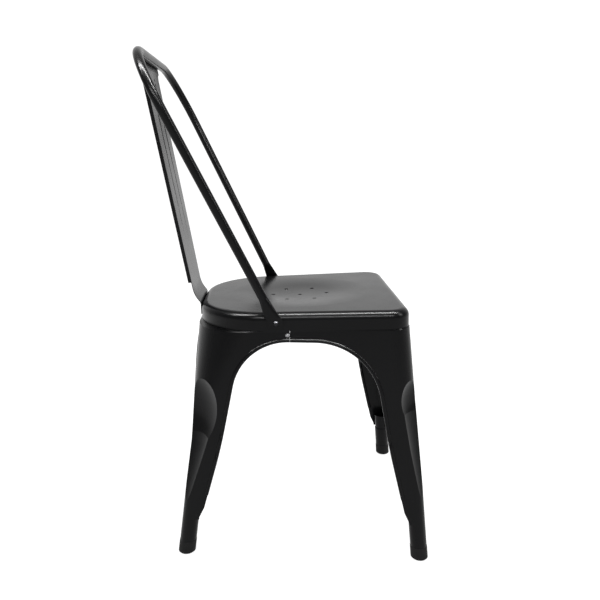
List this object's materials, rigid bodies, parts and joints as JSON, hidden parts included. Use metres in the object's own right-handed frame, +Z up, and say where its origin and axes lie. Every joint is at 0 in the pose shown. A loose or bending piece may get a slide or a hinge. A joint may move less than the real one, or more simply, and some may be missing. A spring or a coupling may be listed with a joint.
{
  "type": "bistro chair",
  "caption": "Pressed-steel cafe side chair with dished seat, splayed fluted legs, tall bent-tube hoop back and pressed centre splat.",
  "frame": {"origin": "on the floor, on the chair's middle plane, midway between its foremost and rearmost points", "axes": "+X to the sitter's left, +Y to the back, +Z up"},
  "size_m": [0.4354, 0.4934, 0.852],
  "materials": {
    "painted_steel": "satin black powder coat",
    "rubber": "matte",
    "fastener_steel": "zinc plated"
  },
  "bodies": {
    "root": {"seat_pan": "painted_steel", "front_leg_left": "painted_steel", "front_leg_right": "painted_steel", "back_leg_left": "painted_steel", "back_leg_right": "painted_steel", "foot_tube_front_left": "painted_steel", "foot_tube_front_right": "painted_steel", "foot_tube_back_left": "painted_steel", "foot_tube_back_right": "painted_steel", "rubber_foot_front_left": "rubber", "rubber_foot_front_right": "rubber", "rubber_foot_back_left": "rubber", "rubber_foot_back_right": "rubber", "back_hoop": "painted_steel", "back_splat": "painted_steel", "brace_bar_lower": "painted_steel", "brace_bar_upper": "painted_steel", "brace_screw": "fastener_steel", "brace_nut": "fastener_steel", "hoop_screws": "fastener_steel", "hoop_nuts": "fastener_steel", "splat_screws": "fastener_steel", "splat_nuts": "fastener_steel", "apron_rivets": "fastener_steel"}
  },
  "joints": []
}
